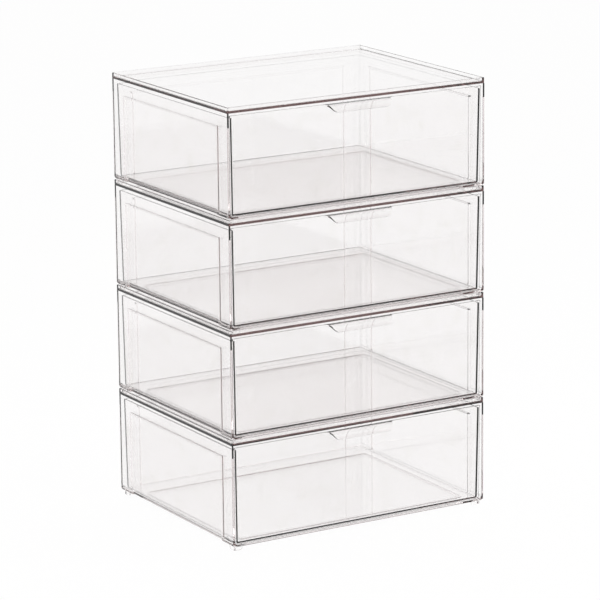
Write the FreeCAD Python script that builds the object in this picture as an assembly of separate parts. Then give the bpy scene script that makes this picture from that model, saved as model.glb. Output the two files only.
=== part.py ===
import FreeCAD, Part
import math
import os
from FreeCAD import Vector

# A stack of clear moulded drawer boxes. Each box is a case open at the front, a cover bonded
# on top of it with a raised rim, and a drawer that slides out of the front.
# Z is up, the drawers open towards -Y, and the origin is at floor height in the middle of
# the stack's footprint, with the drawer pulls counted in. Lengths are in millimetres.

# How the boxes stack
box_count = 4
case_width = 406.0
case_depth = 320.0
stack_pitch = 151.0

# Case: floor, two sides and back, moulded in one with the feet
case_wall = 2.6
case_floor = 2.6
case_outer_radius = 4.0
case_inner_radius = 5.0

# Shallow recesses pressed into the sides and the back between the corner posts
corner_post = 32.0
recess_depth = 3.0
recess_slope = 1.2
header_slope = 0.4
recess_height = 118.8

# A field pressed down in the case's floor, which leaves a flat strip all round for the drawer
floor_sink = 1.8
floor_strip = 21.0
floor_back_strip = 41.0
floor_sink_radius = 6.0

# Feet: one angle under each corner, which drops inside the rim of the box below
foot_height = 6.2
foot_leg = 13.0
foot_wall = 2.4
foot_end_radius = 3.5
foot_play = 1.4

# Cover: a flat panel with a raised stacking rim all round
cover_panel = 2.6
rim_rise = 5.4
rim_wall = 2.6
rim_edge_radius = 1.0
rim_root_radius = 1.5

# Drawer: a tray with tapered walls behind a wider front
drawer_setback = 1.2
drawer_wall = 2.4
drawer_floor = 2.4
drawer_taper = 1.8
tray_radius = 3.6
tray_side_play = 0.2
tray_wall_drop = 3.4
slide_gap = 0.3
front_panel = 2.6
front_top_gap = 3.6
front_side_gap = 2.1
front_corner_radius = 3.0

# Pull: a hood that curls out and down from the top edge of the front
pull_width = 103.0
pull_reach = 14.0
pull_drop = 9.3
pull_wall = 2.2
pull_taper = 6.7
pull_corner_radius = 5.0
pull_root_radius = 5.5
pull_edge_radius = 0.6

# How far a cutting shape runs past the surface that it opens, and how exactly an edge is found
overrun = 5.0
find_tolerance = 0.0001

# Places that follow from the sizes
half_width = case_width / 2
pull_stand_out = pull_reach - drawer_setback
case_front = (pull_stand_out - case_depth) / 2
case_back = case_front + case_depth
case_underside = foot_height
case_floor_top = case_underside + case_floor
cover_top = stack_pitch
case_top = cover_top - cover_panel
recess_top = case_underside + recess_height

drawer_bottom = case_floor_top + slide_gap
front_top = case_top - front_top_gap
tray_top = front_top - tray_wall_drop
front_y = case_front + drawer_setback
front_half_width = half_width - case_wall - front_side_gap
tray_half_width = half_width - case_wall - recess_depth - tray_side_play
tray_back = case_back - case_wall - recess_depth - slide_gap


def box(x_low, y_low, z_low, x_high, y_high, z_high):
    corner = Vector(x_low, y_low, z_low)
    return Part.makeBox(x_high - x_low, y_high - y_low, z_high - z_low, corner)


def prism(points, direction):
    outline = Part.makePolygon(points + [points[0]])
    return Part.Face(outline).extrude(direction)


def edges_on(shape, **planes):
    """Edges that lie wholly on every named plane, such as X=half_width."""
    found = []
    for edge in shape.Edges:
        misses = []
        for axis, place in planes.items():
            misses.append(abs(getattr(edge.BoundBox, axis + "Min") - place))
            misses.append(abs(getattr(edge.BoundBox, axis + "Max") - place))
        if max(misses) < find_tolerance:
            found.append(edge)
    return found


def case_form(inset, bottom, top, front, radius, round_corners):
    """The case as a full solid, shrunk by inset on its sides, back and recesses."""
    side = half_width - inset
    back = case_back - inset
    recess_side = side - recess_depth
    recess_back = back - recess_depth
    header = recess_top + inset
    post_x = half_width - corner_post + inset
    post_front = case_front + corner_post - inset
    post_rear = case_back - corner_post + inset
    inside_core = recess_back - radius
    height = Vector(0, 0, top - bottom)

    core = box(-recess_side, front, bottom, recess_side, recess_back, top)
    round_edges = edges_on(core, X=recess_side, Z=bottom) + edges_on(core, X=-recess_side, Z=bottom)
    round_edges += edges_on(core, Y=recess_back, Z=bottom)
    form = core.makeFillet(radius, round_edges)

    for hand in (1, -1):
        front_post = prism([
            Vector(hand * side, front, bottom),
            Vector(hand * side, post_front, bottom),
            Vector(hand * recess_side, post_front + recess_slope, bottom),
            Vector(hand * (post_x - recess_slope), post_front + recess_slope, bottom),
            Vector(hand * (post_x - recess_slope), front, bottom),
        ], height)
        front_post = front_post.makeFillet(radius, edges_on(front_post, X=hand * side, Z=bottom))
        rear_post = prism([
            Vector(hand * side, back, bottom),
            Vector(hand * post_x, back, bottom),
            Vector(hand * (post_x - recess_slope), recess_back, bottom),
            Vector(hand * (post_x - recess_slope), post_rear - recess_slope, bottom),
            Vector(hand * recess_side, post_rear - recess_slope, bottom),
            Vector(hand * side, post_rear, bottom),
        ], height)
        round_edges = edges_on(rear_post, X=hand * side, Z=bottom) + edges_on(rear_post, Y=back, Z=bottom)
        if round_corners:
            round_edges += edges_on(rear_post, X=hand * side, Y=back)
        rear_post = rear_post.makeFillet(radius, round_edges)
        form = form.fuse([front_post, rear_post])

    band = box(-side, front, header, side, back, top)
    if round_corners:
        band = band.makeFillet(radius, edges_on(band, X=side, Y=back) + edges_on(band, X=-side, Y=back))
    side_header = prism([
        Vector(side, post_front, header),
        Vector(-side, post_front, header),
        Vector(-recess_side, post_front, header - header_slope),
        Vector(recess_side, post_front, header - header_slope),
    ], Vector(0, post_rear - post_front, 0))
    back_header = prism([
        Vector(-post_x, back, header),
        Vector(-post_x, recess_back, header - header_slope),
        Vector(-post_x, inside_core, header),
    ], Vector(2 * post_x, 0, 0))
    return form.fuse([band, side_header, back_header]).removeSplitter()


def foot(hand, end):
    """An angle of two legs that meet at the outer corner, with rounded lower ends."""
    rim_inside = half_width - rim_wall
    outer_x = hand * (rim_inside - foot_play)
    edge_y = case_front if end < 0 else case_back
    outer_y = edge_y - end * (rim_wall + foot_play)
    root = case_underside + case_floor / 2
    legs = []
    for run, across in ((Vector(-hand, 0, 0), Vector(0, -end, 0)), (Vector(0, -end, 0), Vector(-hand, 0, 0))):
        corner = Vector(outer_x, outer_y, 0)
        far = corner + run * foot_leg
        knee = far - run * foot_end_radius
        arc_middle = knee + run * (foot_end_radius * math.sqrt(0.5))
        arc_middle.z = foot_end_radius * (1 - math.sqrt(0.5))
        shoulder = far + Vector(0, 0, foot_end_radius)
        top_far = far + Vector(0, 0, root)
        top_corner = corner + Vector(0, 0, root)
        outline = Part.Wire([
            Part.makeLine(corner, knee),
            Part.Arc(knee, arc_middle, shoulder).toShape(),
            Part.makeLine(shoulder, top_far),
            Part.makeLine(top_far, top_corner),
            Part.makeLine(top_corner, corner),
        ])
        legs.append(Part.Face(outline).extrude(across * foot_wall))
    return legs[0].fuse(legs[1])


def floor_field(inset, bottom, top):
    """The field of the case's floor that is pressed down, shrunk by inset on its four sides."""
    side = half_width - floor_strip - inset
    front = case_front + floor_strip + inset
    back = case_back - floor_back_strip - inset
    field = box(-side, front, bottom, side, back, top)
    corners = []
    for x in (-side, side):
        for y in (front, back):
            corners += edges_on(field, X=x, Y=y)
    return field.makeFillet(floor_sink_radius - inset, corners)


def make_case():
    """Floor, sides and back with their recesses, open at the front and the top."""
    outside = case_form(0, case_underside, case_top, case_front, case_outer_radius, True)
    inside = case_form(
        case_wall, case_floor_top, case_top + overrun, case_front - overrun, case_inner_radius, False)
    sunk = floor_field(0, case_underside - floor_sink, case_floor_top)
    pocket = floor_field(case_wall, case_floor_top - floor_sink, case_floor_top + overrun)
    feet = [foot(hand, end) for hand in (1, -1) for end in (1, -1)]
    return outside.fuse([sunk] + feet).cut([inside, pocket]).removeSplitter()


def make_cover():
    """The top panel with its rim, bonded to the top edges of the case's walls."""
    outer = box(-half_width, case_front, case_top, half_width, case_back, cover_top + rim_rise)
    well = box(
        -half_width + rim_wall, case_front + rim_wall, cover_top,
        half_width - rim_wall, case_back - rim_wall, cover_top + rim_rise + overrun,
    )
    well = well.makeFillet(rim_root_radius, edges_on(well, Z=cover_top))
    cover = outer.cut(well)
    return cover.makeFillet(rim_edge_radius, edges_on(cover, Z=cover_top + rim_rise))


def taper_at(z):
    """How far the drawer's walls have leaned in at height z, nothing at the front's top edge."""
    return drawer_taper * (front_top - z) / (front_top - drawer_bottom)


def tray_form(inset, front_inset, bottom, top, radius, round_front):
    """The drawer's tapered tub as a full solid, shrunk by inset on its sides and back."""
    half = tray_half_width - inset
    front = front_y + front_inset
    back = tray_back - inset
    low = taper_at(bottom)
    high = taper_at(top)
    seen_from_front = prism([
        Vector(-half + low, case_front, bottom),
        Vector(half - low, case_front, bottom),
        Vector(half - high, case_front, top),
        Vector(-half + high, case_front, top),
    ], Vector(0, case_depth, 0))
    seen_from_side = prism([
        Vector(-half_width, front + low, bottom),
        Vector(-half_width, back - low, bottom),
        Vector(-half_width, back - high, top),
        Vector(-half_width, front + high, top),
    ], Vector(case_width, 0, 0))
    tub = seen_from_front.common(seen_from_side)
    round_edges = []
    for edge in tub.Edges:
        below_the_rim = edge.BoundBox.ZMin < top - find_tolerance
        on_the_front = edge.BoundBox.YMax < front + low + find_tolerance
        if below_the_rim and (round_front or not on_the_front):
            round_edges.append(edge)
    return tub.makeFillet(radius, round_edges)


def front_plate():
    """The drawer's front, wider than the tray and leaning back towards its foot."""
    lean = taper_at(drawer_bottom)
    plate = prism([
        Vector(-front_half_width, front_y, front_top),
        Vector(front_half_width, front_y, front_top),
        Vector(front_half_width, front_y + lean, drawer_bottom),
        Vector(-front_half_width, front_y + lean, drawer_bottom),
    ], Vector(0, front_panel, 0))
    lower_corners = []
    for edge in plate.Edges:
        bounds = edge.BoundBox
        across_the_plate = bounds.YLength > max(bounds.XLength, bounds.ZLength)
        if across_the_plate and abs(bounds.ZMax - drawer_bottom) < find_tolerance:
            lower_corners.append(edge)
    return plate.makeFillet(front_corner_radius, lower_corners)


def pull_hood():
    """A curled sheet, shaped in side view by its arcs and in plan by its tapered outline."""
    sweep = 2 * math.atan(pull_drop / pull_reach)
    outer_radius = pull_reach / math.sin(sweep)
    inner_radius = outer_radius - pull_wall
    half_root = pull_width / 2 + 2 * pull_root_radius
    centre = Vector(-half_root, front_y, front_top - outer_radius)

    def on_arc(radius, angle):
        return centre + Vector(0, -radius * math.sin(angle), radius * math.cos(angle))

    root = Vector(0, front_panel / 2, 0)
    outer_arc = Part.Arc(on_arc(outer_radius, 0), on_arc(outer_radius, sweep / 2), on_arc(outer_radius, sweep))
    inner_arc = Part.Arc(on_arc(inner_radius, sweep), on_arc(inner_radius, sweep / 2), on_arc(inner_radius, 0))
    profile = Part.Wire([
        Part.makeLine(on_arc(outer_radius, 0) + root, on_arc(outer_radius, 0)),
        outer_arc.toShape(),
        Part.makeLine(on_arc(outer_radius, sweep), on_arc(inner_radius, sweep)),
        inner_arc.toShape(),
        Part.makeLine(on_arc(inner_radius, 0), on_arc(inner_radius, 0) + root),
        Part.makeLine(on_arc(inner_radius, 0) + root, on_arc(outer_radius, 0) + root),
    ])
    sheet = Part.Face(profile).extrude(Vector(2 * half_root, 0, 0))
    tip = on_arc(outer_radius, sweep)
    tip_inside = on_arc(inner_radius, sweep)
    tip_edges = edges_on(sheet, Y=tip.y, Z=tip.z) + edges_on(sheet, Y=tip_inside.y, Z=tip_inside.z)
    sheet = sheet.makeFillet(pull_edge_radius, tip_edges)

    base = front_top - outer_radius
    half_lip = pull_width / 2
    lip_y = front_y - pull_reach
    lip_half = half_lip - pull_taper
    outline = prism([
        Vector(-half_root, front_y + front_panel / 2, base),
        Vector(-half_root, front_y, base),
        Vector(-half_lip, front_y, base),
        Vector(-lip_half, lip_y, base),
        Vector(lip_half, lip_y, base),
        Vector(half_lip, front_y, base),
        Vector(half_root, front_y, base),
        Vector(half_root, front_y + front_panel / 2, base),
    ], Vector(0, 0, outer_radius + overrun))
    roots = edges_on(outline, X=half_lip, Y=front_y) + edges_on(outline, X=-half_lip, Y=front_y)
    outline = outline.makeFillet(pull_root_radius, roots)
    lips = edges_on(outline, X=lip_half, Y=lip_y) + edges_on(outline, X=-lip_half, Y=lip_y)
    outline = outline.makeFillet(pull_corner_radius, lips)
    return sheet.common(outline)


def make_drawer():
    """Tray, front and pull in one moulding."""
    tub = tray_form(0, 0, drawer_bottom, tray_top, tray_radius, False)
    hollow = tray_form(
        drawer_wall, front_panel, drawer_bottom + drawer_floor, front_top + overrun,
        tray_radius - drawer_wall, True)
    return tub.fuse([front_plate(), pull_hood()]).cut(hollow).removeSplitter()


def main():
    os.makedirs("parts", exist_ok=True)
    pieces = {"case": make_case(), "cover": make_cover(), "drawer": make_drawer()}
    for name, piece in pieces.items():
        print(name, "is valid:", piece.isValid(), "solids:", len(piece.Solids), "volume:", round(piece.Volume))
    for level in range(box_count):
        lift = Vector(0, 0, level * stack_pitch)
        for name, piece in pieces.items():
            placed = piece.translated(lift)
            placed.exportStep("parts/box%d_%s.step" % (level + 1, name))


main()
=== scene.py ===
# %% [markdown]
# # A stack of four clear drawer boxes
#
# The object is a stack of four identical storage boxes, each moulded in clear plastic. A box has
# three parts: a case with a floor and three walls, a cover bonded on top with a raised rim, and a
# drawer that slides out of the front. The CAD frame holds their exact places, and this lesson
# models each part once, copies it up the stack, and gives it a clear plastic finish.

# %% Load the measured frame
import math
from types import SimpleNamespace
import bmesh
import bpy
from mathutils import Matrix, Vector


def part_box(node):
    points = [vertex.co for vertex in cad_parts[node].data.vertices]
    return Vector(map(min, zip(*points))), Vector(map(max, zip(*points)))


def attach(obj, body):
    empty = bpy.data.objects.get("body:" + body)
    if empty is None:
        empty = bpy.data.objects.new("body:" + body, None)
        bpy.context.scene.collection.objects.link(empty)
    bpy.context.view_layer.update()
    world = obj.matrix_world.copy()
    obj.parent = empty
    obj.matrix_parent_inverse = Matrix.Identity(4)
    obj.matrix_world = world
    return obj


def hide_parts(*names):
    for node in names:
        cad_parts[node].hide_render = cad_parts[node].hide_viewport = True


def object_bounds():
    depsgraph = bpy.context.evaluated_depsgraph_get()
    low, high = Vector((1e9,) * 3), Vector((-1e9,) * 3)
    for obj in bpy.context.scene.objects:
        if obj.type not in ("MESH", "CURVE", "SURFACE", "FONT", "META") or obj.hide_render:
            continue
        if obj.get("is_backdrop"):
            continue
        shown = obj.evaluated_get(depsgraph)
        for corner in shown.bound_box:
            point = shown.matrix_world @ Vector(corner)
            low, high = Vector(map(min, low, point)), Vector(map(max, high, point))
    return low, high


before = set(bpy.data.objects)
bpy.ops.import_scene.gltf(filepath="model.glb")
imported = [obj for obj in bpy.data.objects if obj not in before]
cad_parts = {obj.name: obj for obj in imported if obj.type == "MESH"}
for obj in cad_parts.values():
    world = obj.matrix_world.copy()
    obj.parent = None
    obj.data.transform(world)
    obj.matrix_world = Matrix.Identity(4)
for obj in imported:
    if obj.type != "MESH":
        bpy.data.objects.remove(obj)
cad_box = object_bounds()
scene = bpy.context.scene
mm = 0.001
print("The frame is", [round((high - low) / mm) for low, high in zip(*cad_box)], "mm wide, deep and high")

# %% [markdown]
# ## Places and sizes
#
# The frame gives the outer corners of the three parts of the lowest box. Wall thicknesses, radii
# and other small sizes aren't in it, so they are written as named lengths in millimetres, and
# every later step reads as a sentence about the plastic. These are the sizes of the case. The
# cover and the drawer bring their own later.

# %% Places of the parts, and sizes of the case
case_low, case_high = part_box("box1_case")
cover_low, cover_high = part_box("box1_cover")
drawer_low, drawer_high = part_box("box1_drawer")
stack_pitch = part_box("box2_case")[0].z - case_low.z
box_count = 4

wall = 2.6 * mm
floor_wall = 2.6 * mm
case_round = 4.0 * mm
case_inside_round = 5.0 * mm
upright_round = 1.3 * mm
upright_inside_round = 1.0 * mm
foot_height = 6.2 * mm
corner_post = 32.0 * mm
recess_depth = 3.0 * mm
recess_slope = 1.2 * mm
header_slope = 0.4 * mm
recess_top = 125.0 * mm
floor_sink = 1.8 * mm
floor_strip = 21.0 * mm
floor_back_strip = 41.0 * mm
air_film = 0.05 * mm
print("One box is", round(stack_pitch / mm), "mm high in the stack")

# %% [markdown]
# ## Pick up a block, and pick parts of it
#
# By hand, modelling starts with a cube scaled to size and goes on by picking faces and edges.
# `add_block` does the first and keeps the object at the origin, with its place in its mesh.
# `pick` does the second: in edit mode it selects the points, edges or faces that pass a test. The
# short functions after it are what such tests are made of. `take` makes one piece the active one,
# because an operator acts on all that is selected.

# %% Helpers for blocks and picks
hair = 0.01 * mm
mostly = 0.9
sharp_fold = 60


def take(piece):
    """Makes a piece the active one, and the only one that is selected."""
    bpy.ops.object.select_all(action="DESELECT")
    piece.select_set(True)
    bpy.context.view_layer.objects.active = piece


def add_block(name, low, high):
    """Adds a cube that fills the space between two corners."""
    bpy.ops.object.select_all(action="DESELECT")
    bpy.ops.mesh.primitive_cube_add(size=1)
    block = bpy.context.object
    block.name = name
    block.data.name = name
    block.location = (Vector(low) + Vector(high)) / 2
    block.scale = Vector(high) - Vector(low)
    bpy.ops.object.transform_apply(location=True, rotation=True, scale=True)
    return block


def pick(kind, wanted):
    """Selects the verts, edges or faces that pass a test, and nothing else. Returns how many."""
    bpy.ops.mesh.select_all(action="DESELECT")
    bpy.ops.mesh.select_mode(type={"verts": "VERT", "edges": "EDGE", "faces": "FACE"}[kind])
    shape = bmesh.from_edit_mesh(bpy.context.edit_object.data)
    shape.normal_update()
    picked = [item for item in getattr(shape, kind) if wanted(item)]
    for item in picked:
        item.select_set(True)
    shape.select_flush_mode()
    bmesh.update_edit_mesh(bpy.context.edit_object.data)
    return len(picked)


def near(a, b):
    """True if two lengths agree to a hair."""
    return abs(a - b) < hair


def middle(edge):
    """The place halfway along an edge."""
    return (edge.verts[0].co + edge.verts[1].co) / 2


def along(edge, axis):
    """True if an edge runs mostly along axis 0, 1 or 2."""
    run = edge.verts[1].co - edge.verts[0].co
    return abs(run[axis]) > mostly * run.length


def fold(edge):
    """The angle in degrees by which two faces turn at an edge."""
    return math.degrees(edge.calc_face_angle(0))


def round_off(radius, segments):
    """Bevels the selected edges to a radius."""
    bpy.ops.mesh.bevel(offset=radius, segments=segments, profile=0.5, affect="EDGES", clamp_overlap=False)


print("Lengths count as equal when they agree to", hair / mm, "mm")

# %% [markdown]
# ## The case: one skin at a time
#
# The case is a thin wall that follows two skins, one outside and one inside. Its sides and back
# are pressed in by 3 mm between the corner posts, so both skins have the same steps. A Solidify
# modifier could give the wall its thickness, but the real moulding has more plastic in its inner
# corners than a plain offset gives. So each skin is made from a block of its own, and the two are
# bridged afterwards. Both follow the same list of places, which the inset moves inwards.

# %% Places of a skin
def skin_places(inset, floor_z):
    """Where a skin has its walls, posts and fields when it lies an inset inside the case."""
    return SimpleNamespace(
        inset=inset,
        floor=floor_z,
        side=case_high.x - inset,
        front=case_low.y,
        back=case_high.y - inset,
        top=case_high.z - air_film,
        header=recess_top + inset,
        post_x=case_high.x - corner_post + inset,
        post_front=case_low.y + corner_post - inset,
        post_rear=case_high.y - corner_post + inset,
        field_side=case_high.x - inset - floor_strip,
        field_front=case_low.y + floor_strip + inset,
        field_back=case_high.y - inset - floor_back_strip,
    )


outside = skin_places(0, foot_height)
inside = skin_places(wall, foot_height + floor_wall)
print("The inner skin stands", round((outside.side - inside.side) / mm, 1), "mm inside the outer one")

# %% [markdown]
# ## Press the recesses in
#
# The recess of a wall has a flat field and a short slope round it. Bisect cuts the block across
# where the slopes start and end, the points of each field are moved in, and the faces between the
# cuts become the slopes. The cuts also run on over the flat walls, where nothing should show in
# clear plastic, and a limited dissolve takes them out again.

# %% Cut and press the walls
flat_angle = math.radians(0.5)


def cut_across(axis, place, wanted=None):
    """Cuts the faces that pass a test, or the whole piece, with a plane at a place along an axis."""
    point, normal = Vector((0, 0, 0)), Vector((0, 0, 0))
    point[axis], normal[axis] = place, 1
    if wanted:
        pick("faces", wanted)
    else:
        bpy.ops.mesh.select_all(action="SELECT")
    bpy.ops.mesh.bisect(plane_co=point, plane_no=normal)


def press_recesses(at):
    """Moves the fields between the posts inwards, on both sides and the back."""
    for place in (at.post_front, at.post_front + recess_slope, at.post_rear - recess_slope, at.post_rear):
        cut_across(1, place)
    for place in (-at.post_x, recess_slope - at.post_x, at.post_x - recess_slope, at.post_x):
        cut_across(0, place)
    cut_across(2, at.header - header_slope)
    cut_across(2, at.header)

    def in_side_field(co, hand):
        across = at.post_front + recess_slope - hair < co.y < at.post_rear - recess_slope + hair
        return near(co.x, hand * at.side) and across and co.z < at.header - header_slope + hair

    def in_back_field(co):
        across = abs(co.x) < at.post_x - recess_slope + hair
        return near(co.y, at.back) and across and co.z < at.header - header_slope + hair

    for hand in (-1, 1):
        pick("verts", lambda vert: in_side_field(vert.co, hand))
        bpy.ops.transform.translate(value=(-hand * recess_depth, 0, 0))
    pick("verts", lambda vert: in_back_field(vert.co))
    bpy.ops.transform.translate(value=(0, -recess_depth, 0))
    bpy.ops.mesh.select_all(action="SELECT")
    bpy.ops.mesh.dissolve_limited(angle_limit=flat_angle)


print("The fields go in by", round(recess_depth / mm, 1), "mm")

# %% [markdown]
# ## Soften the edges of a skin
#
# Molten plastic doesn't fill a perfectly sharp edge, and the width of a round decides how wide its
# dark line looks. The bottom has a generous round, and the slopes of the recesses and the two rear
# corners have a small one. A Bevel modifier would treat all of them alike, so bevels are made in
# edit mode, one kind of edge after the other. The rear corners come last, because their edge then
# runs on down through the bottom round, where it folds only a little.

# %% Round the bottom, the slopes and the rear corners
step_softness = 0.6 * mm
slack = 0.1 * mm
step_fold = 20
corner_fold = 8


def on_rear_corner(edge, side, back):
    """True on the upright edge where a side meets the back, and where it runs through a round."""
    on_diagonal = all(near(side - abs(vert.co.x), back - vert.co.y) for vert in edge.verts)
    return on_diagonal and fold(edge) > corner_fold


def soften_edges(at, bottom_radius, upright_radius):
    """Rounds one kind of edge after the other, and returns how many edges the slopes have."""
    def on_the_bottom(edge):
        return not edge.is_boundary and all(near(vert.co.z, at.floor) for vert in edge.verts)

    def on_a_step(edge):
        at_header = at.header - header_slope - slack < middle(edge).z < at.header + slack
        level = abs(edge.verts[0].co.z - edge.verts[1].co.z) < slack
        free = edge.is_boundary or on_rear_corner(edge, at.side, at.back)
        return fold(edge) > step_fold and not (free or at_header or level)

    pick("edges", on_the_bottom)
    round_off(bottom_radius, segments=6)
    count = pick("edges", on_a_step)
    round_off(step_softness, segments=2)
    pick("edges", lambda edge: on_rear_corner(edge, at.side, at.back))
    round_off(upright_radius, segments=3)
    return count


print("The slopes are softened by", round(step_softness / mm, 1), "mm")

# %% [markdown]
# ## Sink the floor
#
# The middle of the floor lies a little lower than the strip along the walls. An inset would make
# a strip of one width, but the real one is wider at the back. So bisect draws the field's outline
# on the floor, extrude pushes it down, and its four corners are rounded.

# %% Push the field of the floor down
floor_field_round = 6.0 * mm


def sink_floor(at):
    """Pushes the field in a skin's floor down and rounds the field's corners."""
    def on_skin_floor(face):
        return abs(face.normal.z) > mostly and near(face.calc_center_median().z, at.floor)

    def in_field(face):
        co = face.calc_center_median()
        return on_skin_floor(face) and abs(co.x) < at.field_side and at.field_front < co.y < at.field_back

    def field_corner(edge):
        co = middle(edge)
        at_end = near(co.y, at.field_front) or near(co.y, at.field_back)
        return along(edge, 2) and near(abs(co.x), at.field_side) and at_end

    for hand in (-1, 1):
        cut_across(0, hand * at.field_side, on_skin_floor)
    for place in (at.field_front, at.field_back):
        cut_across(1, place, on_skin_floor)
    pick("faces", in_field)
    bpy.ops.mesh.extrude_region_move(TRANSFORM_OT_translate={"value": (0, 0, -floor_sink)})
    pick("edges", field_corner)
    round_off(floor_field_round - at.inset, segments=6)


print("The floor's field is", round((outside.field_back - outside.field_front) / mm), "mm deep")

# %% [markdown]
# ## Make both skins
#
# With those three steps ready, a skin is a block that is opened at the top and the front and then
# goes through them. The inner skin has the larger bottom round, which leaves more plastic there.

# %% Outer and inner skin
def make_skin(name, at, bottom_radius, upright_radius):
    """One skin of the case, from a block that is opened at the top and the front."""
    skin = add_block(name, (-at.side, at.front, at.floor), (at.side, at.back, at.top))
    bpy.ops.object.mode_set(mode="EDIT")
    pick("faces", lambda face: face.normal.z > mostly or face.normal.y < -mostly)
    bpy.ops.mesh.delete(type="FACE")
    press_recesses(at)
    count = soften_edges(at, bottom_radius, upright_radius)
    sink_floor(at)
    bpy.ops.object.mode_set(mode="OBJECT")
    print(name, "has", len(skin.data.polygons), "faces and", count, "softened edges on its slopes")
    return skin


outer_skin = make_skin("case_outer_skin", outside, case_round, upright_round)
inner_skin = make_skin("case_inner_skin", inside, case_inside_round, upright_inside_round)

# %% [markdown]
# ## Feet
#
# Under each corner is a small angle of two legs, which drops inside the rim of the box below and
# keeps the stack in line. Separate blocks would leave hidden faces inside the clear plastic, and
# those would show. So the feet are drawn from the floor itself: bisect marks the two legs on the
# floor, extrude pulls them down, and a bevel rounds the far ends of the legs. At the sides and the
# back the flat floor already ends where the feet stand, so only the front needs a cut there.
#
# The cuts that are left over in the flat floor are dissolved in two parts, the strip in front of
# the field and the rest that goes round it. A ring can't be one face, and if it were dissolved in
# one go, Blender would leave its last cuts in another place from one run to the next.

# %% Draw the feet down from the floor
foot_leg = 13.0 * mm
foot_wall = 2.4 * mm
foot_play = 1.4 * mm
foot_end_round = 3.5 * mm
rim_wall = 2.6 * mm
foot_x = case_high.x - rim_wall - foot_play
foot_front = case_low.y + rim_wall + foot_play
foot_back = case_high.y - rim_wall - foot_play


def on_floor(face):
    """True on the flat underside of the case."""
    return face.normal.z < -mostly and near(face.calc_center_median().z, foot_height)


def in_leg(face):
    """True on the part of the floor where a foot's two legs come down."""
    co = face.calc_center_median()
    nearer, farther = sorted((foot_x - abs(co.x), min(co.y - foot_front, foot_back - co.y)))
    return on_floor(face) and 0 < nearer < foot_wall and farther < foot_leg


def in_front_strip(face):
    """True on the part of the floor in front of the field, up to the field's rounded corners."""
    return on_floor(face) and face.calc_center_median().y < outside.field_front + floor_field_round / 3


def leg_end(edge):
    """True on the lower edge at the far end of a leg."""
    co = middle(edge)
    x_end = near(abs(co.x), foot_x - foot_leg) and along(edge, 1)
    y_end = (near(co.y, foot_front + foot_leg) or near(co.y, foot_back - foot_leg)) and along(edge, 0)
    return near(co.z, air_film) and (x_end or y_end)


take(outer_skin)
bpy.ops.object.mode_set(mode="EDIT")
for place in (foot_x - foot_leg, foot_x - foot_wall):
    for hand in (-1, 1):
        cut_across(0, hand * place, on_floor)
for place in (foot_front, foot_front + foot_wall, foot_front + foot_leg):
    cut_across(1, place, on_floor)
for place in (foot_back - foot_leg, foot_back - foot_wall):
    cut_across(1, place, on_floor)
leg_faces = pick("faces", in_leg)
bpy.ops.mesh.extrude_region_move(TRANSFORM_OT_translate={"value": (0, 0, air_film - foot_height)})
end_edges = pick("edges", leg_end)
round_off(foot_end_round, segments=4)
pick("faces", in_front_strip)
bpy.ops.mesh.dissolve_limited(angle_limit=flat_angle)
pick("faces", lambda face: on_floor(face) and not in_front_strip(face))
bpy.ops.mesh.dissolve_limited(angle_limit=flat_angle)
bpy.ops.object.mode_set(mode="OBJECT")
print("The feet come from", leg_faces, "floor faces and have", end_edges, "rounded ends")

# %% [markdown]
# ## Shade the rounds, and keep the walls flat
#
# Smooth shading leans the normals of a face towards its neighbours. On a large wall that bends
# the view through clear plastic, and straight edges behind it look curved. So the edges of the
# large faces are marked sharp, which leaves those walls exactly flat, and only the rounds between
# them are smooth. A closed wall has no free edge, and its volume is that of the plastic, so both
# are measured for each part.

# %% Shading and a check of the wall
flat_area = 300 * mm * mm
smooth_angle = math.radians(28)
cm = 10 * mm


def beside_flat_wall(edge):
    """True on an edge of one of the large flat walls."""
    return any(face.calc_area() > flat_area for face in edge.link_faces)


def finish_shading(piece):
    """Gives a piece smooth rounds between exactly flat walls."""
    take(piece)
    bpy.ops.object.shade_smooth_by_angle(angle=smooth_angle)
    bpy.ops.object.mode_set(mode="EDIT")
    pick("edges", beside_flat_wall)
    bpy.ops.mesh.mark_sharp()
    bpy.ops.object.mode_set(mode="OBJECT")
    weight = piece.modifiers.new("rounds_follow_walls", "WEIGHTED_NORMAL")
    weight.keep_sharp = True
    bpy.ops.object.modifier_apply(modifier=weight.name)


def close_check(piece):
    """Prints the volume of plastic and the number of free edges."""
    shape = bmesh.new()
    shape.from_mesh(piece.data)
    free = sum(1 for edge in shape.edges if not edge.is_manifold)
    volume = shape.calc_volume(signed=True) / cm ** 3
    shape.free()
    print(piece.name, "holds", round(volume, 1), "cm3 of plastic, with", free, "free edges")


print("Walls larger than", round(flat_area / cm ** 2, 1), "cm2 stay flat")

# %% [markdown]
# ## Close the case
#
# Joined into one object, the two skins are still two open sheets. Their free edges run in step
# round the front and the top, so bridge edge loops closes the wall between them. A small bevel
# then softens the case's front edges, which the drawer's front sits between.

# %% Bridge the skins
case_front_softness = 0.3 * mm


def on_case_front(edge):
    """True on the sharp edges round the case's open front."""
    return all(near(vert.co.y, case_low.y) for vert in edge.verts) and fold(edge) > sharp_fold


take(outer_skin)
inner_skin.select_set(True)
bpy.ops.object.join()
case = outer_skin
case.name = case.data.name = "box1_case_moulding"
bpy.ops.object.mode_set(mode="EDIT")
pick("edges", lambda edge: edge.is_boundary)
bpy.ops.mesh.bridge_edge_loops()
bpy.ops.mesh.select_all(action="SELECT")
bpy.ops.mesh.normals_make_consistent(inside=False)
pick("edges", on_case_front)
round_off(case_front_softness, segments=2)
bpy.ops.object.mode_set(mode="OBJECT")
finish_shading(case)
close_check(case)

# %% [markdown]
# ## The cover
#
# The cover is a flat panel with a rim all round that holds the feet of the next box. It is an
# inset and an extrude: the block's top face is inset by the rim's thickness and pushed down to
# the panel. Bevels then round the upright corners, the foot of the rim and its top edges.

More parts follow.
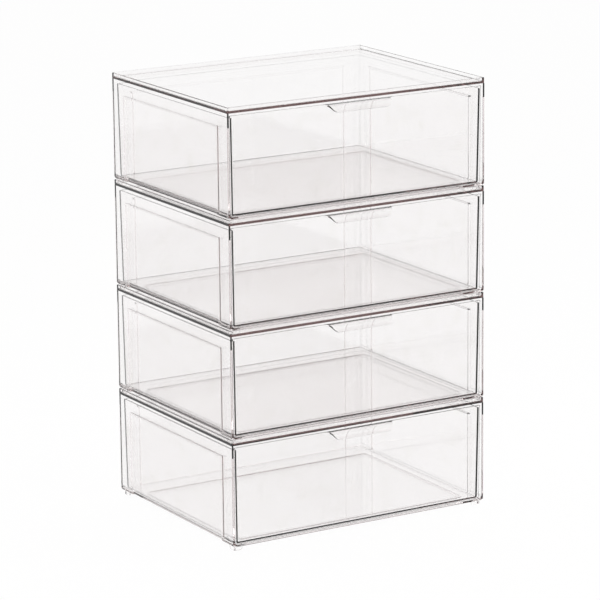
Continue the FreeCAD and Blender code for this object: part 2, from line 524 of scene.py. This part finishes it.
# %% Model the cover
panel = 2.6 * mm
rim_edge_round = 1.0 * mm
rim_root_round = 1.5 * mm
well_corner_round = 1.6 * mm
well_floor = cover_low.z + panel


def upright_at(edge, x, y):
    """True on an upright edge at one place, left or right."""
    co = middle(edge)
    return along(edge, 2) and near(abs(co.x), x) and near(co.y, y)


def level_fold(edge, height):
    """True on a sharp edge that lies level at one height."""
    return all(near(vert.co.z, height) for vert in edge.verts) and fold(edge) > sharp_fold


cover = add_block("box1_cover_moulding", cover_low, cover_high)
bpy.ops.object.mode_set(mode="EDIT")
pick("faces", lambda face: face.normal.z > mostly)
bpy.ops.mesh.inset(thickness=rim_wall)
bpy.ops.mesh.extrude_region_move(TRANSFORM_OT_translate={"value": (0, 0, well_floor - cover_high.z)})
for y in (cover_low.y, cover_high.y):
    pick("edges", lambda edge: upright_at(edge, cover_high.x, y))
    round_off(upright_round, segments=4)
for y in (cover_low.y + rim_wall, cover_high.y - rim_wall):
    pick("edges", lambda edge: upright_at(edge, cover_high.x - rim_wall, y))
    round_off(well_corner_round, segments=4)
pick("edges", lambda edge: level_fold(edge, well_floor))
round_off(rim_root_round, segments=4)
pick("edges", lambda edge: level_fold(edge, cover_high.z))
round_off(rim_edge_round, segments=4)
bpy.ops.object.mode_set(mode="OBJECT")
finish_shading(cover)
close_check(cover)

# %% [markdown]
# ## Sizes of the drawer
#
# The drawer is one moulding: a tub whose walls lean in by nearly 2 mm towards the floor, a wider
# front, and a pull. It takes its width from the case, less the wall, the recess and a little play,
# so it slides freely between the pressed-in sides.

# %% Walls and places of the drawer
drawer_setback = 1.2 * mm
drawer_wall = 2.4 * mm
drawer_floor = 2.4 * mm
drawer_taper = 1.8 * mm
tray_side_play = 0.2 * mm
tray_wall_drop = 3.4 * mm
front_panel = 2.6 * mm
tray_half = case_high.x - wall - recess_depth - tray_side_play
tray_back = drawer_high.y
tray_top = drawer_high.z - tray_wall_drop
front_y = case_low.y + drawer_setback
front_top = drawer_high.z
drawer_bottom = drawer_low.z
tray_height = tray_top - drawer_bottom
print("The tub is", round(2 * tray_half / mm, 1), "mm wide and", round(tray_height / mm, 1), "mm high")

# %% [markdown]
# ## The tub and its hollow
#
# Each form of the drawer is easy alone, so they are modelled alone and joined with Boolean
# modifiers. The tub is a full block first, and a second, smaller one is taken out of it later.
# The lean lets the real tub leave its mould. Moving the points of each level inwards gives it.
# The edges round the floor are well rounded, and the upright rear corners are nearly sharp.

# %% Tub and hollow as leaning blocks
tray_round = 3.6 * mm
tray_upright_round = 0.8 * mm
tray_upright_inside_round = 0.4 * mm
overrun = 5 * mm
hollow_half = tray_half - drawer_wall
hollow_back = tray_back - drawer_wall


def lean_at(z):
    """How far the walls have leaned in at a height."""
    return drawer_taper * (front_top - z) / (front_top - drawer_bottom)


def leaning_block(name, half, front, back, bottom, top):
    """A block whose four sides lean in towards its lower face, left open in edit mode."""
    block = add_block(name, (-half, front, bottom), (half, back, top))
    bpy.ops.object.mode_set(mode="EDIT")
    for level in (bottom, top):
        lean = lean_at(level)
        for hand in (-1, 1):
            pick("verts", lambda vert: near(vert.co.z, level) and near(vert.co.x, hand * half))
            bpy.ops.transform.translate(value=(-hand * lean, 0, 0))
        for place, way in ((front, 1), (back, -1)):
            pick("verts", lambda vert: near(vert.co.z, level) and near(vert.co.y, place))
            bpy.ops.transform.translate(value=(0, way * lean, 0))
    return block


tub = leaning_block("drawer_tub", tray_half, front_y + front_panel / 2, tray_back, drawer_bottom, tray_top)
pick("edges", lambda edge: level_fold(edge, drawer_bottom) and middle(edge).y > front_y + front_panel)
round_off(tray_round, segments=6)
pick("edges", lambda edge: on_rear_corner(edge, tray_half, tray_back))
round_off(tray_upright_round, segments=3)
bpy.ops.object.mode_set(mode="OBJECT")

hollow = leaning_block(
    "drawer_hollow", hollow_half, front_y + front_panel, hollow_back,
    drawer_bottom + drawer_floor, front_top + overrun)
pick("edges", lambda edge: middle(edge).z < front_top and not on_rear_corner(edge, hollow_half, hollow_back))
round_off(tray_round - drawer_wall, segments=6)
pick("edges", lambda edge: on_rear_corner(edge, hollow_half, hollow_back))
round_off(tray_upright_inside_round, segments=3)
bpy.ops.object.mode_set(mode="OBJECT")
print("The tub has", len(tub.data.polygons), "faces, and the hollow has", len(hollow.data.polygons))

# %% [markdown]
# ## The drawer's front
#
# The front is a plate, wider than the tub, that leans back towards its foot like the tub does.
# Its two lower corners are rounded by 3 mm, and a small bevel takes the sharpness off its edges.

# %% Model the front plate
front_corner_round = 3 * mm
front_edge_softness = 0.35 * mm
front_half = drawer_high.x
plate = add_block(
    "drawer_front", (-front_half, front_y, drawer_bottom), (front_half, front_y + front_panel, front_top))
bpy.ops.object.mode_set(mode="EDIT")
pick("verts", lambda vert: near(vert.co.z, drawer_bottom))
bpy.ops.transform.translate(value=(0, lean_at(drawer_bottom), 0))
pick("edges", lambda edge: along(edge, 1) and near(middle(edge).z, drawer_bottom))
round_off(front_corner_round, segments=6)
pick("edges", lambda edge: not along(edge, 1) and fold(edge) > sharp_fold)
round_off(front_edge_softness, segments=2)
bpy.ops.object.mode_set(mode="OBJECT")
close_check(plate)

# %% [markdown]
# ## The pull
#
# The pull is a hood: a sheet that leaves the top edge of the front and curls out and down, so
# that fingers reach up behind it. Spin could sweep its curl, but then its outline would have to
# be cut out of a curved sheet, and its rim couldn't be rounded cleanly. So it is modelled flat,
# like a paper pattern: a tab that gets narrower towards its lip, with round corners and a fillet
# at its root. The curl's angle and radius follow from how far the lip reaches out and down.

# %% Draw the pull flat
pull_width = 103.0 * mm
pull_reach = 14.0 * mm
pull_drop = 9.3 * mm
pull_wall = 2.2 * mm
pull_taper = 6.7 * mm
pull_corner = 6.0 * mm
pull_root = 5.5 * mm
pull_sink = 0.02 * mm
root_depth = 0.5 * mm
pull_top = front_top - pull_sink
curl = 2 * math.atan(pull_drop / pull_reach)
curl_radius = pull_reach / math.sin(curl)
flat_reach = curl * curl_radius
half_root = pull_width / 2 + 2 * pull_root
half_lip = pull_width / 2
root_y = front_y + root_depth
lip_y = front_y - flat_reach
root_end = front_y + front_panel / 2

hood = add_block("drawer_pull", (-half_root, root_y, pull_top - pull_wall), (half_root, root_end, pull_top))
bpy.ops.object.mode_set(mode="EDIT")
for hand in (-1, 1):
    cut_across(0, hand * half_lip)
pick("faces", lambda face: face.normal.y < -mostly and abs(face.calc_center_median().x) < half_lip)
bpy.ops.mesh.extrude_region_move(TRANSFORM_OT_translate={"value": (0, lip_y - root_y, 0)})
for hand in (-1, 1):
    pick("verts", lambda vert: near(vert.co.y, lip_y) and near(vert.co.x, hand * half_lip))
    bpy.ops.transform.translate(value=(-hand * pull_taper, 0, 0))
pick("edges", lambda edge: upright_at(edge, half_lip, root_y))
round_off(pull_root, segments=6)
pick("edges", lambda edge: along(edge, 2) and near(middle(edge).y, lip_y))
round_off(pull_corner, segments=8)
print("The flat pull is", round(flat_reach / mm, 1), "mm long")

# %% [markdown]
# ## Its soft rim
#
# A hand touches the rim of the pull, so its edges are soft all the way: along the root, round the
# corners and along the lip. They are bevelled while the sheet is flat, because there the bevel runs
# beside level faces and comes out even. The part of the sheet that ends inside the front plate
# keeps its sharp edges, because the two are joined into one there.

# %% Round the rim
pull_rim_round = 0.7 * mm


def on_pull_rim(edge):
    """True on the upper and lower edges of the flat pull, outside the front plate."""
    return not along(edge, 2) and fold(edge) > sharp_fold and middle(edge).y < root_y + hair


rim_edges = pick("edges", on_pull_rim)
round_off(pull_rim_round, segments=4)
print("The rim has", rim_edges, "edges")

# %% [markdown]
# ## Curl the pull
#
# Bend needs a window, so the curl is made by hand: bisect cuts the flat sheet into narrow strips,
# and at each cut, from the lip back to the root, everything in front of it is turned down by the
# same small angle. With no window, rotate turns the other way, which gives the angle its sign.

# %% Curl it strip by strip
curl_steps = 14
strip = flat_reach / curl_steps
hinges = [front_y - (step + 0.5) * strip for step in range(curl_steps)]
for hinge_y in hinges:
    cut_across(1, hinge_y)
for hinge_y in reversed(hinges):
    pick("verts", lambda vert: vert.co.y < hinge_y - hair)
    bpy.ops.transform.rotate(
        value=-curl / curl_steps, orient_axis="X", center_override=(0, hinge_y, pull_top))
bpy.ops.mesh.select_all(action="SELECT")
bpy.ops.mesh.normals_make_consistent(inside=False)
bpy.ops.object.mode_set(mode="OBJECT")
lip_point = min(hood.data.vertices, key=lambda vert: vert.co.z).co
print("The lip ends", round((front_y - lip_point.y) / mm, 1), "mm out and",
      round((front_top - lip_point.z) / mm, 1), "mm down")
close_check(hood)

# %% [markdown]
# ## Put the drawer together
#
# Boolean modifiers with the exact solver join the three forms and cut out the hollow. Joined, they
# are one moulding with one skin, so no hidden wall shows inside the clear plastic.

# %% Join and cut the drawer's forms
def combine(body, tool, way):
    """Applies a Boolean modifier and deletes the tool."""
    take(body)
    cutter = body.modifiers.new(way.lower(), "BOOLEAN")
    cutter.operation = way
    cutter.solver = "EXACT"
    cutter.object = tool
    bpy.ops.object.modifier_apply(modifier=cutter.name)
    bpy.data.objects.remove(tool)


drawer = plate
drawer.name = drawer.data.name = "box1_drawer_moulding"
combine(drawer, tub, "UNION")
combine(drawer, hood, "UNION")
combine(drawer, hollow, "DIFFERENCE")
finish_shading(drawer)
close_check(drawer)

# %% [markdown]
# ## Four boxes from one
#
# All four boxes come from the same moulds, so the three pieces are copied up the stack, each copy
# with a mesh of its own. Every copy rides on its box's body, or on its drawer's, and the CAD node
# of the same place is hidden.

# %% Copy the mouldings up the stack
def copy_to_level(piece, part, level):
    """Copies a piece of the lowest box to another box, with its place in its mesh."""
    mesh = piece.data.copy()
    mesh.transform(Matrix.Translation((0, 0, level * stack_pitch)))
    mesh.name = "box%d_%s_moulding" % (level + 1, part)
    copy = bpy.data.objects.new(mesh.name, mesh)
    scene.collection.objects.link(copy)
    return copy


mouldings = {"case": [case], "cover": [cover], "drawer": [drawer]}
for part, copies in mouldings.items():
    for level in range(1, box_count):
        copies.append(copy_to_level(copies[0], part, level))
    for level, piece in enumerate(copies):
        body = "box%d_drawer" % (level + 1) if part == "drawer" else "box%d" % (level + 1)
        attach(piece, body)
        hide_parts("box%d_%s" % (level + 1, part))
    print(part, "stands", len(copies), "times in the stack")

# %% [markdown]
# ## The skin of the plastic
#
# The surface of a moulding is not perfect: it cools a little wavy, and handling leaves faint haze.
# All three parts share those two effects, so they are one node group with its own sockets, and
# each material sets its own amounts. Broad noise gives the waves. Finer noise, cut to soft patches,
# gives the haze.

# %% The shared surface of a moulding
def socket(tree, name, way, kind, value=None):
    """Adds a socket to a node group."""
    made = tree.interface.new_socket(name=name, in_out=way, socket_type=kind)
    if value is not None:
        made.default_value = value


def node(tree, kind, x, y, **settings):
    """Adds a node at a place and sets its properties."""
    made = tree.nodes.new(kind)
    made.location = (x, y)
    for name, value in settings.items():
        setattr(made, name, value)
    return made


surface = bpy.data.node_groups.new("moulded_surface", "ShaderNodeTree")
socket(surface, "Wave Size", "INPUT", "NodeSocketFloat", 9.0)
socket(surface, "Haze Size", "INPUT", "NodeSocketFloat", 38.0)
socket(surface, "Haze", "INPUT", "NodeSocketFloat", 0.02)
socket(surface, "Colour", "OUTPUT", "NodeSocketColor")
socket(surface, "Roughness", "OUTPUT", "NodeSocketFloat")
socket(surface, "Height", "OUTPUT", "NodeSocketFloat")
inlet = node(surface, "NodeGroupInput", -900, 0)
outlet = node(surface, "NodeGroupOutput", 500, 0)
spot = node(surface, "ShaderNodeTexCoord", -900, 300)
waves = node(surface, "ShaderNodeTexNoise", -600, 300)
waves.inputs["Detail"].default_value = 1.0
haze = node(surface, "ShaderNodeTexNoise", -600, 0)
haze.inputs["Detail"].default_value = 3.0
patches = node(surface, "ShaderNodeMapRange", -350, 0, interpolation_type="SMOOTHSTEP")
patches.inputs["From Min"].default_value = 0.52
patches.inputs["From Max"].default_value = 0.75
rough = node(surface, "ShaderNodeMath", -100, 0, operation="MULTIPLY")
tint = node(surface, "ShaderNodeMix", 100, 250, data_type="RGBA")
tint.inputs["A"].default_value = (1.0, 1.0, 1.0, 1)
tint.inputs["B"].default_value = (0.985, 0.985, 0.98, 1)
links = surface.links
links.new(spot.outputs["Object"], waves.inputs["Vector"])
links.new(spot.outputs["Object"], haze.inputs["Vector"])
links.new(inlet.outputs["Wave Size"], waves.inputs["Scale"])
links.new(inlet.outputs["Haze Size"], haze.inputs["Scale"])
links.new(haze.outputs["Fac"], patches.inputs["Value"])
links.new(patches.outputs["Result"], rough.inputs[0])
links.new(inlet.outputs["Haze"], rough.inputs[1])
links.new(patches.outputs["Result"], tint.inputs["Factor"])
links.new(tint.outputs["Result"], outlet.inputs["Colour"])
links.new(rough.outputs["Value"], outlet.inputs["Roughness"])
links.new(waves.outputs["Fac"], outlet.inputs["Height"])
print("The group puts out", [item.name for item in surface.interface.items_tree if item.in_out == "OUTPUT"])

# %% [markdown]
# ## Clear moulded plastic
#
# The plastic is clear styrene. It is nearly colourless through one thin wall. Seen on edge, where
# light has run a long way inside a panel, it turns to a dark warm brown. That is absorption, which
# grows with the length of the way through the plastic, so it is a Volume Absorption and no surface
# colour. The Principled shader with Transmission at 1 bends and reflects light like the real wall,
# but it would block the lamps and leave a black shadow. So for shadow rays a Transparent shader
# takes its place. That mix stays in the material itself, next to the Light Path node.

# %% Make the three clear materials
styrene_bend = 1.5
edge_colour = (0.41, 0.23, 0.22)
absorption = 9.5
shadow_colour = (0.96, 0.96, 0.96)
wave_height = 0.007 * mm


def clear_plastic(name, wave_size, haze_amount):
    """Clear styrene with a surface of its own waves and haze."""
    material = bpy.data.materials.new(name)
    material.use_nodes = True
    tree = material.node_tree
    plastic = tree.nodes["Principled BSDF"]
    plastic.inputs["Transmission Weight"].default_value = 1
    plastic.inputs["IOR"].default_value = styrene_bend
    finish = node(tree, "ShaderNodeGroup", -600, 200, node_tree=surface)
    finish.inputs["Wave Size"].default_value = wave_size
    finish.inputs["Haze"].default_value = haze_amount
    bump = node(tree, "ShaderNodeBump", -300, -100)
    bump.inputs["Strength"].default_value = 1.0
    bump.inputs["Distance"].default_value = wave_height
    clear = node(tree, "ShaderNodeBsdfTransparent", 100, -300)
    clear.inputs["Color"].default_value = (*shadow_colour, 1)
    path = node(tree, "ShaderNodeLightPath", 100, 500)
    choose = node(tree, "ShaderNodeMixShader", 400, 200)
    depth = node(tree, "ShaderNodeVolumeAbsorption", 400, -200)
    depth.inputs["Color"].default_value = (*edge_colour, 1)
    depth.inputs["Density"].default_value = absorption
    output = tree.nodes["Material Output"]
    output.location = (700, 200)
    tree.links.new(finish.outputs["Colour"], plastic.inputs["Base Color"])
    tree.links.new(finish.outputs["Roughness"], plastic.inputs["Roughness"])
    tree.links.new(finish.outputs["Height"], bump.inputs["Height"])
    tree.links.new(bump.outputs["Normal"], plastic.inputs["Normal"])
    tree.links.new(path.outputs["Is Shadow Ray"], choose.inputs["Fac"])
    tree.links.new(plastic.outputs["BSDF"], choose.inputs[1])
    tree.links.new(clear.outputs["BSDF"], choose.inputs[2])
    tree.links.new(choose.outputs["Shader"], output.inputs["Surface"])
    tree.links.new(depth.outputs["Volume"], output.inputs["Volume"])
    return material


clear_materials = {
    "case": clear_plastic("clear_case", wave_size=9.0, haze_amount=0.008),
    "cover": clear_plastic("clear_cover", wave_size=7.0, haze_amount=0.01),
    "drawer": clear_plastic("clear_drawer", wave_size=10.0, haze_amount=0.01),
}
for part, copies in mouldings.items():
    for piece in copies:
        piece.data.materials.clear()
        piece.data.materials.append(clear_materials[part])
print("Materials:", [material.name for material in clear_materials.values()])

# %% [markdown]
# ## Camera
#
# The photograph is taken from the left front and a little above, with a long lens from almost
# five metres, so the edges hardly converge. The camera stands on a line that leaves the stack at
# that azimuth and elevation, looks back along it and rolls by half a degree.

# %% Set up the camera
azimuth, elevation, roll = math.radians(-30.931), math.radians(13.834), math.radians(-0.5444)
camera_distance = 4.8394
focal_length = 207.89
aim = Vector((-0.0006, 0.00278, 0.29113))
towards_camera = Vector((
    math.sin(azimuth) * math.cos(elevation),
    -math.cos(azimuth) * math.cos(elevation),
    math.sin(elevation),
))
lens = bpy.data.cameras.new("camera")
lens.lens = focal_length
lens.clip_end = 50
camera = bpy.data.objects.new("camera", lens)
scene.collection.objects.link(camera)
turn = towards_camera.to_track_quat("Z", "Y").to_matrix() @ Matrix.Rotation(roll, 3, "Z")
camera.matrix_world = Matrix.Translation(aim + towards_camera * camera_distance) @ turn.to_4x4()
scene.camera = camera
print("The camera stands at", [round(value, 2) for value in camera.location])

# %% [markdown]
# ## Floor and backdrop
#
# The stack stands on a white studio sweep without a horizon. The floor is a wide plane whose
# material gives its white straight to the camera and to rays that a clear wall reflects or lets
# through, and keeps a share of plain diffuse white that holds the soft shadow of the stack.

# %% Lay the floor
floor_size = 40
floor_gap = 0.5 * mm
white_share = 0.95


def combine_masks(tree, operation, first, second, x, y):
    """One mask from two, by a Math node."""
    result = node(tree, "ShaderNodeMath", x, y, operation=operation)
    tree.links.new(first, result.inputs[0])
    tree.links.new(second, result.inputs[1])
    return result.outputs["Value"]


bpy.ops.object.select_all(action="DESELECT")
bpy.ops.mesh.primitive_plane_add(size=floor_size, location=(0, 0, -floor_gap))
floor = bpy.context.object
floor.name = "floor"
sweep = bpy.data.materials.new("studio_sweep")
sweep.use_nodes = True
tree = sweep.node_tree
paper = tree.nodes["Principled BSDF"]
paper.inputs["Base Color"].default_value = (0.9, 0.9, 0.9, 1)
paper.inputs["Roughness"].default_value = 0.9
path = node(tree, "ShaderNodeLightPath", -1200, 300)
glossy, through, straight = [path.outputs["Is %s Ray" % way] for way in ("Glossy", "Transmission", "Camera")]
bent = combine_masks(tree, "MAXIMUM", glossy, through, -1000, 300)
seen_white = combine_masks(tree, "MAXIMUM", straight, bent, -800, 300)
glow = node(tree, "ShaderNodeEmission", 0, -300)
glow.inputs["Color"].default_value = (1, 1, 1, 1)
share = node(tree, "ShaderNodeMath", 0, 300, operation="MULTIPLY")
share.inputs[1].default_value = white_share
blend = node(tree, "ShaderNodeMixShader", 300, 0)
tree.links.new(seen_white, share.inputs[0])
tree.links.new(share.outputs["Value"], blend.inputs["Fac"])
tree.links.new(paper.outputs["BSDF"], blend.inputs[1])
tree.links.new(glow.outputs["Emission"], blend.inputs[2])
tree.links.new(blend.outputs["Shader"], tree.nodes["Material Output"].inputs["Surface"])
floor.data.materials.append(sweep)
floor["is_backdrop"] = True
print("The floor lies", round(floor_gap / mm, 2), "mm under the feet")

# %% [markdown]
# ## The studio around it
#
# Clear plastic shows nothing of its own: every line on it is a bent view of the room. The room is
# white behind and beside the stack, and dim and warm on the camera's side, from above the table up
# to below the ceiling. That dim part draws the fine lines along rounded edges. The world's colour
# is built from the direction that a ray leaves in, and the camera itself sees plain white.

# %% Build the world
room_dark_from, room_dark_full = 0.02, 0.25
ceiling_from, ceiling_full = 0.92, 0.70
camera_side_from, camera_side_full = -0.3, 0.4
room_white = (0.97, 0.97, 0.97)
room_dark = (0.27, 0.19, 0.18)


def smooth_step(tree, source, low, high, x, y):
    """A mask that goes softly from 0 to 1 as a value goes from low to high."""
    step = node(tree, "ShaderNodeMapRange", x, y, interpolation_type="SMOOTHSTEP")
    step.inputs["From Min"].default_value = low
    step.inputs["From Max"].default_value = high
    tree.links.new(source, step.inputs["Value"])
    return step.outputs["Result"]


world = bpy.data.worlds.new("studio")
scene.world = world
world.use_nodes = True
tree = world.node_tree
room = tree.nodes["Background"]
direction = node(tree, "ShaderNodeTexCoord", -1200, 0)
split = node(tree, "ShaderNodeSeparateXYZ", -1000, 200)
facing = node(tree, "ShaderNodeVectorMath", -1000, -100, operation="DOT_PRODUCT")
facing.inputs[1].default_value = Vector((towards_camera.x, towards_camera.y, 0)).normalized()
tree.links.new(direction.outputs["Generated"], split.inputs["Vector"])
tree.links.new(direction.outputs["Generated"], facing.inputs[0])
above_table = smooth_step(tree, split.outputs["Z"], room_dark_from, room_dark_full, -750, 300)
below_ceiling = smooth_step(tree, split.outputs["Z"], ceiling_from, ceiling_full, -750, 0)
camera_side = smooth_step(tree, facing.outputs["Value"], camera_side_from, camera_side_full, -750, -300)
mid_height = combine_masks(tree, "MULTIPLY", above_table, below_ceiling, -500, 200)
dim = combine_masks(tree, "MULTIPLY", mid_height, camera_side, -300, 0)
shade = node(tree, "ShaderNodeMix", -100, 0, data_type="RGBA")
shade.inputs["A"].default_value = (*room_white, 1)
shade.inputs["B"].default_value = (*room_dark, 1)
tree.links.new(dim, shade.inputs["Factor"])
tree.links.new(shade.outputs["Result"], room.inputs["Color"])
plain = node(tree, "ShaderNodeBackground", 200, -200)
plain.inputs["Color"].default_value = (1, 1, 1, 1)
seen = node(tree, "ShaderNodeLightPath", 200, 300)
choose = node(tree, "ShaderNodeMixShader", 450, 0)
tree.links.new(seen.outputs["Is Camera Ray"], choose.inputs["Fac"])
tree.links.new(room.outputs["Background"], choose.inputs[1])
tree.links.new(plain.outputs["Background"], choose.inputs[2])
tree.links.new(choose.outputs["Shader"], tree.nodes["World Output"].inputs["Surface"])
print("The room has", len(tree.nodes), "nodes and is dim towards azimuth", round(math.degrees(azimuth)))

# %% [markdown]
# ## Lamps
#
# Two large soft boxes stand left and right of the camera. They light the floor and put long, soft
# highlights on the pulls and the rounded edges. A ray through the stack passes dozens of clear
# walls, so it is given many bounces. With few, the far walls would turn black.

# %% Place the soft boxes
stack_middle = Vector((0, 0, 0.3))
clear_bounces = 48


def soft_box(name, place, width, height, power):
    """A rectangular lamp that looks at the middle of the stack."""
    lamp = bpy.data.lights.new(name, "AREA")
    lamp.shape = "RECTANGLE"
    lamp.size, lamp.size_y, lamp.energy = width, height, power
    holder = bpy.data.objects.new(name, lamp)
    scene.collection.objects.link(holder)
    facing_stack = (Vector(place) - stack_middle).to_track_quat("Z", "Y")
    holder.matrix_world = Matrix.Translation(place) @ facing_stack.to_matrix().to_4x4()
    print(name, "shines with", power, "watts")


soft_box("key_light", place=(-1.6, -1.8, 2.4), width=1.6, height=1.6, power=40)
soft_box("fill_light", place=(2.2, -1.2, 1.6), width=1.2, height=1.8, power=20)
scene.view_settings.view_transform = "Standard"
scene.cycles.max_bounces = clear_bounces
scene.cycles.transmission_bounces = clear_bounces
scene.cycles.transparent_max_bounces = clear_bounces
scene.cycles.glossy_bounces = 24

# %% [markdown]
# ## Check the size and finish
#
# The visual model is meant to fill the same box as the CAD model, so the largest difference
# between the two boxes is printed.

# %% Compare the sizes and finish
seen_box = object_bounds()
differences = [abs(a - b) for cad, seen in zip(cad_box, seen_box) for a, b in zip(cad, seen)]
print("Largest difference in mm:", round(max(differences) / mm, 2))
